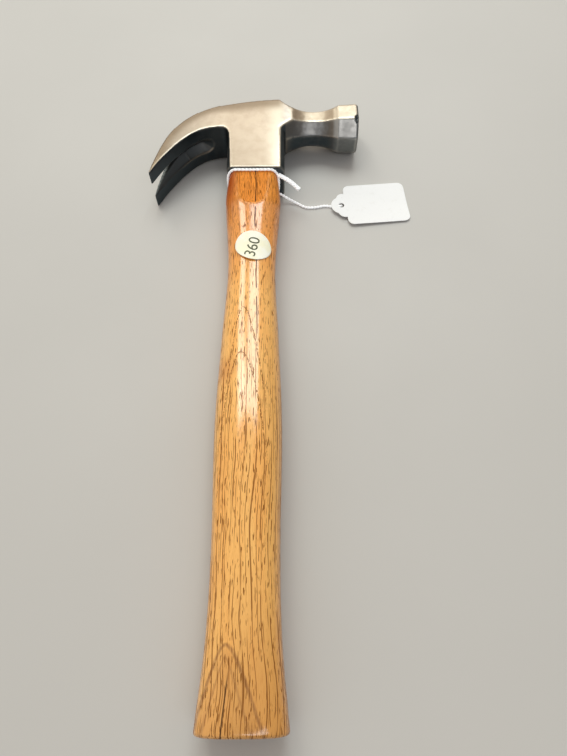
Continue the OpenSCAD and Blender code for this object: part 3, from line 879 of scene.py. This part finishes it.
def dull_steel_finish():
    made, shader = finish("wedge_steel", Metallic=1.0)
    where = hammer_millimetres()
    steel = use(steel_grain, Place=where, Stretch=(3, 3, 3))
    colour = mixed(fade(steel["Mottle"], 0.35, 0.65), (0.36, 0.35, 0.34), (0.22, 0.20, 0.18))
    colour = mixed(steel["Pits"], colour, (0.08, 0.05, 0.03))
    rough = fade(steel["Mottle"], 0.3, 0.7, 0.42, 0.6)
    normal = bump(steel["Grinding"], 0.00003, 0.6)
    feed(shader, Base_Color=colour, Roughness=rough, Normal=normal)
    return made


def dress(node, material):
    """Gives a solid that stays as it is a new material."""
    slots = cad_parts[node].data.materials
    if slots:
        slots[0] = material
    else:
        slots.append(material)


dress("wood_wedge", bare_wood_finish())
wedge_steel = dull_steel_finish()
for node in ("steel_wedge_claw_side", "steel_wedge_face_side"):
    dress(node, wedge_steel)

# %% [markdown]
# ## The forged head
# A forged head has no sharp corners: the dies and the grinding wheel round all of them. A voxel
# remesh turns the solid into even squares of half a millimetre, and smooth_vert then rounds every
# edge by about as much. Where the cheek runs into the neck it is smoothed longer, for the hollow
# that the die leaves there. The neck and the bell get the faint unevenness of hammer blows.

# %% Remesh and soften the head
VOXEL = 0.5
BELL_R = 14.6  # from the bell's axis to its corners
NICK_TURN, NICK_DEEP = math.radians(112.5), 0.8
NICK = Vector((FACE_X - 1.1, POLL_Y + BELL_R * math.cos(NICK_TURN), BELL_R * math.sin(NICK_TURN)))


def evenly_meshed(bm, size):
    """The same shape in even squares."""
    mesh = bpy.data.meshes.new("uneven")
    bm.to_mesh(mesh)
    bm.free()
    holder = placed("uneven", mesh)
    even = holder.modifiers.new("even", "REMESH")
    even.mode = "VOXEL"
    even.voxel_size = size
    shown = holder.evaluated_get(bpy.context.evaluated_depsgraph_get())
    result = bmesh.new()
    result.from_mesh(shown.to_mesh())
    shown.to_mesh_clear()
    bpy.data.objects.remove(holder)
    bpy.data.meshes.remove(mesh)
    return result


def soften(bm, corners, rounds):
    """Moves corners halfway to the middle of their neighbours, again and again."""
    for _ in range(rounds):
        bmesh.ops.smooth_vert(
            bm, verts=corners, factor=0.5, use_axis_x=True, use_axis_y=True, use_axis_z=True
        )


def soft_step(value, start, end):
    """0 before start, 1 after end, and a soft rise between them."""
    t = clamp((value - start) / (end - start))
    return t * t * (3 - 2 * t)


def from_nick(here):
    """How far from the chip in the bell's rim: it is longer than it is wide, and uneven."""
    off = here - NICK
    ragged = 0.7 * noise.noise(here * 0.9)
    return Vector((off.x * 1.1, off.y * 0.62, off.z * 0.7)).length + ragged


def in_hollow(here):
    """Where the cheek runs into the neck."""
    return 13.5 < here.x < 24 and POLL_Y - 18 < here.y < POLL_Y + 7


head_shape = evenly_meshed(merged_copy("head"), VOXEL * MM)
soften(head_shape, head_shape.verts, 4)
soften(head_shape, [v for v in head_shape.verts if in_hollow(hammer_place(v))], 14)
head_shape.normal_update()
for corner in head_shape.verts:
    here = hammer_place(corner)
    on_neck = soft_step(here.x, 17, 26) * (1 - soft_step(here.x, 61.5, 62.5))
    uneven = noise.noise(here * 0.16) * 0.10 + noise.noise(here * 0.42 + Vector((9, 2, 5))) * 0.05
    corner.co += corner.normal * uneven * on_neck * MM
    corner.co -= corner.normal * NICK_DEEP * (1 - soft_step(from_nick(here), 0.7, 1.9)) * MM
print("head has", len(head_shape.faces), "squares")

# %% [markdown]
# ## Polish, wear and painted light
# The grinder only reaches the cheeks, the poll and the back of the claw. The hollows keep the dark
# skin of the forge; on the faces that look down and on the socket's walls that skin is partly a
# painted shade. What is bright and what is dark is painted on the mesh as four attributes, worked
# out from where each corner lies and which way it faces: polish with that painted shade and a
# painted highlight on the groove's rim, wear on the edges that also paints their highlights, a
# painted shade along the crown and the flare, and the neck's top, partly a painted reflection.

# %% Paint the polish, the wear and the painted light
CROWN_X, CROWN_UP, CROWN_R = 22.2, 12.1, 163.6  # the top of the crown's arc, and its radius
CROWN_END = -17.9  # where the bend begins
CROWN_C = (CROWN_X, POLL_Y + CROWN_UP - CROWN_R)
SOCKET_X, CHEEK_X = 19, 16  # where the socket's and the cheeks' surfaces end
crown_a = math.pi / 2 + math.asin((CROWN_X - CROWN_END) / CROWN_R)
BEND_R, BACK_R = 49.1, 150.0  # the bend behind the socket, and the claw's long back
bend_c = (
    CROWN_C[0] + (CROWN_R - BEND_R) * math.cos(crown_a),
    CROWN_C[1] + (CROWN_R - BEND_R) * math.sin(crown_a),
)
bend_a = math.radians(90 + 68.7)
back_c = (
    bend_c[0] + (BEND_R - BACK_R) * math.cos(bend_a),
    bend_c[1] + (BEND_R - BACK_R) * math.sin(bend_a),
)


def below_back(x, y):
    """How far a place lies inside the back of the head and claw, in millimetres."""
    for centre, radius, start, end in (
        (CROWN_C, CROWN_R, 0.0, crown_a),
        (bend_c, BEND_R, crown_a, bend_a),
        (back_c, BACK_R, bend_a, 4.0),
    ):
        angle = math.atan2(y - centre[1], x - centre[0]) % math.tau
        if start <= angle < end:
            return radius - math.hypot(x - centre[0], y - centre[1])
    return 10.0


polish_light_layer = head_shape.verts.layers.float.new("polish_and_painted_light")
wear_highlight_layer = head_shape.verts.layers.float.new("wear_and_highlight")
edge_shade_layer = head_shape.verts.layers.float.new("painted_edge_shade")
top_layer = head_shape.verts.layers.float.new("neck_top")
head_shape.normal_update()
for corner in head_shape.verts:
    here = hammer_place(corner)
    n = corner.normal
    around = [edge.other_vert(corner).co for edge in corner.link_edges]
    sharp = (corner.co - sum(around, Vector()) / len(around)).dot(n) / MM
    under = soft_step(-n.y, 0.76, 0.93)
    side = soft_step(abs(n.z), 0.80, 0.93)
    in_slot = here.x < -17 and abs(here.z) < 9 and abs(n.z) > 0.4
    in_groove = here.x < -20 and abs(here.z) < 5.5 and abs(n.z) > 0.3 and n.y < -0.1
    if in_groove:
        dark_skin_and_shade = 0.80
    elif in_slot:
        dark_skin_and_shade = 1.0
    # the socket's walls and the faces that look down are dark: partly the forge's skin, partly a
    # painted shade
    elif here.x < SOCKET_X and here.y < POLL_Y - 8:
        dark_skin_and_shade = 1 - side
    elif here.x < CHEEK_X:
        is_side = here.y < POLL_Y - 5 or under > 0.3 or here.x < -17 and n.y < 0.3
        dark_skin_and_shade = max(1 - side if is_side else 0.0, under)
    else:
        dark_skin_and_shade = under * (1 - 0.28 * soft_step(here.x, 43, 51))
        below_neck = soft_step(-n.y, 0.4, 0.6) * (1 - soft_step(here.x, 44, 50))
        rim = soft_step(n.x, 0.3, 0.5) * (1 - soft_step(n.x, 0.9, 0.97))
        dark_skin_and_shade = max(dark_skin_and_shade, 0.4 * below_neck, 0.85 * rim * soft_step(here.x, 60.8, 61.8))
    # the back of the head and of the claw is ground bright
    edge = below_back(here.x, here.y)
    if not in_slot:
        dark_skin_and_shade *= 1 - (1 - soft_step(edge, 0.8, 1.8)) * soft_step(n.y, -0.4, -0.1)
    dark_skin_and_shade = max(dark_skin_and_shade, 1 - soft_step(from_nick(here), 1.7, 2.3))
    # a painted highlight along the groove's lower rim
    on_rim = soft_step(-here.x, 19, 25) * (1 - soft_step(-here.x, 38, 48)) * (-7.5 < here.z < -2.5)
    corner[polish_light_layer] = max(1 - dark_skin_and_shade, 0.75 * on_rim * clamp(sharp / 0.02))
    # wear on the sharp edges, which also paints their highlights
    on_claw = 0.4 + 0.6 * soft_step(here.x, -45, -18)
    corner[wear_highlight_layer] = clamp(sharp / 0.03) * soft_step(edge, 2, 6) * on_claw
    # painted shade along the crown, in the neck's flare and on the socket's end
    crown_deep = 7.0 + 4.0 * soft_step(here.x, -28, -6)
    crown = 1 - soft_step(edge, 0.25 * crown_deep, crown_deep)
    crown *= (1 - soft_step(here.x, 14, 20)) * soft_step(abs(n.z), 0.1, 0.5)
    flare = soft_step(abs(n.x), 0.10, 0.30) * soft_step(here.x, 15.5, 18)
    flare *= 0.9 * (1 - soft_step(here.x, 47, 49))
    end_band = 1 - soft_step(here.y, SOCKET_Y + 1.0, SOCKET_Y + 2.8)
    end_band *= 0.7 * side * (1 - soft_step(here.x, 16, 18))
    corner[edge_shade_layer] = max(crown, flare, end_band)
    # the flat tops of the neck and the bell, for a warm tint that is partly a painted reflection
    corner[top_layer] = side * soft_step(here.x, 19, 24)
print("painted", len(head_shape.verts), "corners")


# %% Steel material
def forged_finish():
    made, shader = finish("forged_head_steel", Metallic=1.0)
    where = hammer_millimetres()
    steel = use(steel_grain, Place=where, Stretch=(0.25, 5.0, 5.0))
    polish_and_painted_light, wear_and_highlight, painted_edge_shade, neck_top = (
        paint_of(name) for name in ("polish_and_painted_light", "wear_and_highlight", "painted_edge_shade", "neck_top")
    )
    cloud = fade(steel["Mottle"], 0.35, 0.68)
    parts = parts_of(where)
    x, y = parts[0], parts[1]
    # the cheeks are warm, partly the steel's own tint and partly a painted warm reflection; darker
    # towards the socket is a painted shade, and they are darker towards the claw's tips
    warm = mixed(cloud, (0.45, 0.375, 0.295), (0.385, 0.315, 0.245))
    # painted shade: darker towards the socket
    warm = mixed(fade(y, POLL_Y - 8, SOCKET_Y + 4, 0, 0.55), warm, (0.27, 0.215, 0.16))
    warm = mixed(fade(x, -10, -62, 0, 0.75), warm, (0.235, 0.21, 0.175))
    # a painted highlight: a bright band near the cheek's edge on the face's side
    cheek_highlight = minus(fade(x, 5, 15), fade(x, 15, 20))
    warm = mixed(times(cheek_highlight, 0.6), warm, (0.58, 0.53, 0.44))
    # the neck and the bell are colder, but for the neck's top, whose warm tint is partly a painted
    # warm reflection
    cold = mixed(cloud, (0.53, 0.51, 0.475), (0.43, 0.415, 0.395))
    stains = fade(steel["Mottle"], 0.48, 0.62, 0, 0.30)
    cold = mixed(stains, cold, (0.24, 0.20, 0.165))
    bright = mixed(fade(x, 15, 22), warm, cold)
    bright = mixed(fade(x, 46, 49, 0, 0.7), bright, (0.455, 0.45, 0.425))
    # partly a painted warm reflection on the tops
    bright = mixed(times(neck_top, 0.7), bright, (0.48, 0.40, 0.29))
    # painted shade along the crown, in the flare and on the socket's end
    bright = mixed(times(painted_edge_shade, 0.85), bright, (0.19, 0.145, 0.10))
    # the edges' wear and their painted highlights
    bright = mixed(times(wear_and_highlight, 0.3), bright, (0.80, 0.76, 0.67))
    bright = mixed(times(steel["Pits"], 0.25), bright, (0.20, 0.13, 0.09))
    # the dark skin: oxide in the hollows, and a painted shade on the faces that look down and on
    # the socket's walls
    oxide_and_shade = mixed(cloud, (0.052, 0.066, 0.074), (0.076, 0.086, 0.090))
    oxide_and_shade = mixed(fade(x, -22, -48, 0, 0.5), oxide_and_shade, (0.095, 0.125, 0.140))
    shine = calc("MINIMUM", plus(polish_and_painted_light, times(wear_and_highlight, 0.25)), 1.0)
    colour = mixed(shine, oxide_and_shade, bright)
    rough = times_plus(cloud, 0.08, 0.30)
    rough = plus(rough, times(minus(1.0, shine), 0.12))
    normal = bump(steel["Grinding"], 0.00002, 0.35)
    feed(shader, Base_Color=colour, Roughness=rough, Normal=normal)
    return made


piece(head_shape, "hammer_head", forged_finish(), ["head"])

# %% [markdown]
# ## The round sticker
# A round sticker follows the wood under it. It is a sheet rolled round its own middle, laid on the
# handle's upper surface, and its lower rim has started to lift. The number on it is a text object
# made into a mesh, cut into small squares, and laid on the paper in the same way.

# %% Sticker paper and ink
def sticker_finish():
    made, shader = finish("sticker_paper", Roughness=0.6)
    where = hammer_millimetres()
    fibre = speckle(where, 2.5, 3)
    stain = speckle(where, 0.16, 2)
    colour = mixed(fade(stain, 0.35, 0.7), (0.98, 0.97, 0.86), (0.955, 0.925, 0.70))
    colour = mixed(fade(fibre, 0.5, 0.8, 0, 0.3), colour, (0.88, 0.83, 0.58))
    rough = fade(fibre, 0.2, 0.8, 0.5, 0.7)
    feed(shader, Base_Color=colour, Roughness=rough, Normal=bump(fibre, 0.00003, 0.4))
    return made


def ink_finish():
    made, shader = finish("sticker_ink", Roughness=0.5)
    where = hammer_millimetres()
    blot = speckle(where, 2.2, 2)
    colour = mixed(fade(blot, 0.4, 0.75), (0.040, 0.050, 0.012), (0.10, 0.11, 0.035))
    rough = fade(blot, 0.3, 0.8, 0.45, 0.7)
    feed(shader, Base_Color=colour, Roughness=rough, Normal=bump(blot, 0.00002, 0.4))
    return made


# %% The sticker
STICKER_D, STICKER_T, STICKER_GAP = 19.0, 0.2, 0.12
STICKER_AROUND, STICKER_RINGS = 96, 24
STICKER_TILT = math.radians(-35)  # which way the oval is long
LIFT_WAY = Vector((-0.55, -0.84))  # towards the rim that has come up
sticker_x, sticker_y = 1.0, SOCKET_Y - 53.4


def sticker_lift(x, y):
    """How far the paper stands off the wood: the rim by the claw's side has come up."""
    off = Vector((x - sticker_x, y - sticker_y)) / (STICKER_D / 2)
    return STICKER_GAP + 1.1 * max(0.0, off.dot(LIFT_WAY)) ** 2.4 + 0.4 * max(0.0, off.x) ** 3


def sticker_place(u, v):
    """The upper face from the middle out, round the rim, and the lower face back in."""
    step = round(v * (2 * STICKER_RINGS + 1))
    upper = step <= STICKER_RINGS
    ring = step if upper else 2 * STICKER_RINGS + 1 - step
    oval = 1 + 0.05 * math.cos(2 * (math.tau * u - STICKER_TILT))
    radius = STICKER_D / 2 * oval * ring / STICKER_RINGS
    x = sticker_x + radius * math.cos(math.tau * u)
    y = sticker_y + radius * math.sin(math.tau * u)
    return on_hammer(x, y, top_height(x, y) + sticker_lift(x, y) + (STICKER_T if upper else 0))


round_sheet = rolled_sheet(STICKER_AROUND, 2 * STICKER_RINGS + 1, sticker_place)
piece(round_sheet, "round_sticker", sticker_finish(), ["lot_sticker"])

# %% The number on the sticker
DIGIT_H = 6.3
DIGIT_SHARE = 0.73  # how much of the font's size its digits fill
DIGIT_TILT = math.radians(76)
DIGIT_CUT = 0.7  # the side of the small squares
INK_OVER, INK_UNDER = 0.035, -0.05  # the ink's two faces, from the paper's surface
letters = bpy.data.curves.new("number", "FONT")
letters.body = "360"
letters.size = DIGIT_H / DIGIT_SHARE
letters.align_x = "CENTER"
letters.align_y = "CENTER"
letters.offset = -0.008
letters.space_character = 0.98
letters.resolution_u = 6
holder = placed("number", letters)
shown = holder.evaluated_get(bpy.context.evaluated_depsgraph_get())
flat_number = bpy.data.meshes.new_from_object(shown)
bpy.data.objects.remove(holder)
number_shape = bmesh.new()
number_shape.from_mesh(flat_number)
bpy.data.meshes.remove(flat_number)
bmesh.ops.remove_doubles(number_shape, verts=number_shape.verts, dist=1e-4)
for way in (Vector((1, 0, 0)), Vector((0, 1, 0))):
    for k in range(-14, 15):
        cut(number_shape, way * k * DIGIT_CUT, way)
upper_face = list(number_shape.faces)
raised = bmesh.ops.extrude_face_region(number_shape, geom=upper_face)["geom"]
raised = {g for g in raised if isinstance(g, bmesh.types.BMVert)}
reading = Vector((math.cos(DIGIT_TILT), math.sin(DIGIT_TILT)))
rising = Vector((-reading.y, reading.x))
for corner in number_shape.verts:
    flat = reading * corner.co.x * 1.02 + rising * corner.co.y
    x, y = sticker_x - 0.1 + flat.x, sticker_y - 1.2 + flat.y
    over = INK_OVER if corner in raised else INK_UNDER
    corner.co = on_hammer(x, y, top_height(x, y) + sticker_lift(x, y) + STICKER_T + over)
bmesh.ops.recalc_face_normals(number_shape, faces=number_shape.faces)
piece(number_shape, "sticker_number", ink_finish())

# %% [markdown]
# ## The table and the light
# The table is plain and pale, so that the hammer can be judged. The light is soft: an even sky, a
# little warmer and brighter behind the head, and two long strips over it, with a weak panel
# between them. The strips are what draws the two bright lines down the varnish, as two tubes on a
# ceiling do. One low lamp behind brightens the far edges, and one beyond the butt its end.

# %% The table
def table_finish():
    made, shader = finish("table", Roughness=0.6)
    where = add_node("TexCoord").outputs["Object"]
    cloud = add_node("TexNoise", {"Vector": where, "Scale": 9.0, "Detail": 4.0}).outputs[0]
    colour = mixed(cloud, (0.575, 0.560, 0.535), (0.545, 0.530, 0.505))
    feed(shader, Base_Color=colour, Roughness=fade(cloud, 0.2, 0.8, 0.55, 0.68))
    return made


table_top = bmesh.new()
bmesh.ops.create_grid(table_top, x_segments=2, y_segments=2, size=2.5)
table_mesh = bpy.data.meshes.new("table")
table_top.to_mesh(table_mesh)
table_top.free()
table_mesh.materials.append(table_finish())
table = placed("table", table_mesh)
table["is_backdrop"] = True


# %% The light
def strip_light(name, place, length, width, watts, colour):
    """A rectangular lamp that looks at the hammer."""
    lamp = bpy.data.lights.new(name, "AREA")
    lamp.shape = "RECTANGLE"
    lamp.size, lamp.size_y = width, length
    lamp.energy = watts
    lamp.color = colour
    made = placed(name, lamp)
    made.location = place
    made.rotation_euler = (Vector(place) - Vector((0, 0, 0.02))).to_track_quat("Z", "Y").to_euler()


strip_light("strip_middle", (0.11, 0.66, 1.0), 0.62, 0.42, 4.3, (0.88, 0.98, 1.0))
strip_light("strip_claw_side", (-0.38, 0.66, 1.0), 0.62, 0.26, 2.7, (0.94, 0.98, 0.90))
strip_light("panel_between", (-0.195, 0.46, 1.02), 0.22, 0.20, 0.44, (1.0, 0.94, 0.93))
strip_light("lamp_behind", (-0.10, 1.35, 0.72), 0.14, 1.0, 1.6, (1.0, 0.94, 0.85))
strip_light("lamp_at_butt", (0.22, -0.56, 0.86), 0.18, 0.56, 1.0, (1.0, 0.97, 0.95))

sky = bpy.data.worlds.new("sky")
bpy.context.scene.world = sky
sky.use_nodes = True
Work.tree = sky.node_tree
background = Work.tree.nodes["Background"]
way = add_node("TexCoord").outputs["Generated"]
to_behind = {0: way, 1: (0.0, 0.75, 0.66)}
behind = add_node("VectorMath", to_behind, operation="DOT_PRODUCT").outputs["Value"]
glow = fade(behind, 0.35, 1.0)
ways = parts_of(way)
front = fade(ways[1], -0.7, 0.3)
claw_side = fade(ways[0], 0.1, -0.9, 0, 0.9)
cool = mixed(front, (0.24, 0.27, 0.31), (0.30, 0.30, 0.30))
cool = mixed(claw_side, cool, (0.66, 0.62, 0.57))
light_colour = mixed(glow, cool, (0.84, 0.74, 0.62))
seen = add_node("LightPath").outputs["Is Camera Ray"]
shown_colour = mixed(seen, light_colour, (0.86, 0.86, 0.86))
feed(background, Color=shown_colour, Strength=1.0)

# %% [markdown]
# ## Sizes and the end
# The two boxes are written down so that the dressed hammer can be compared with the solids.

# %% Write the boxes and finish
shown_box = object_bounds()
for label, box in (("cad", cad_box), ("visual", shown_box)):
    print(label, [round(v, 4) for c in box for v in c])
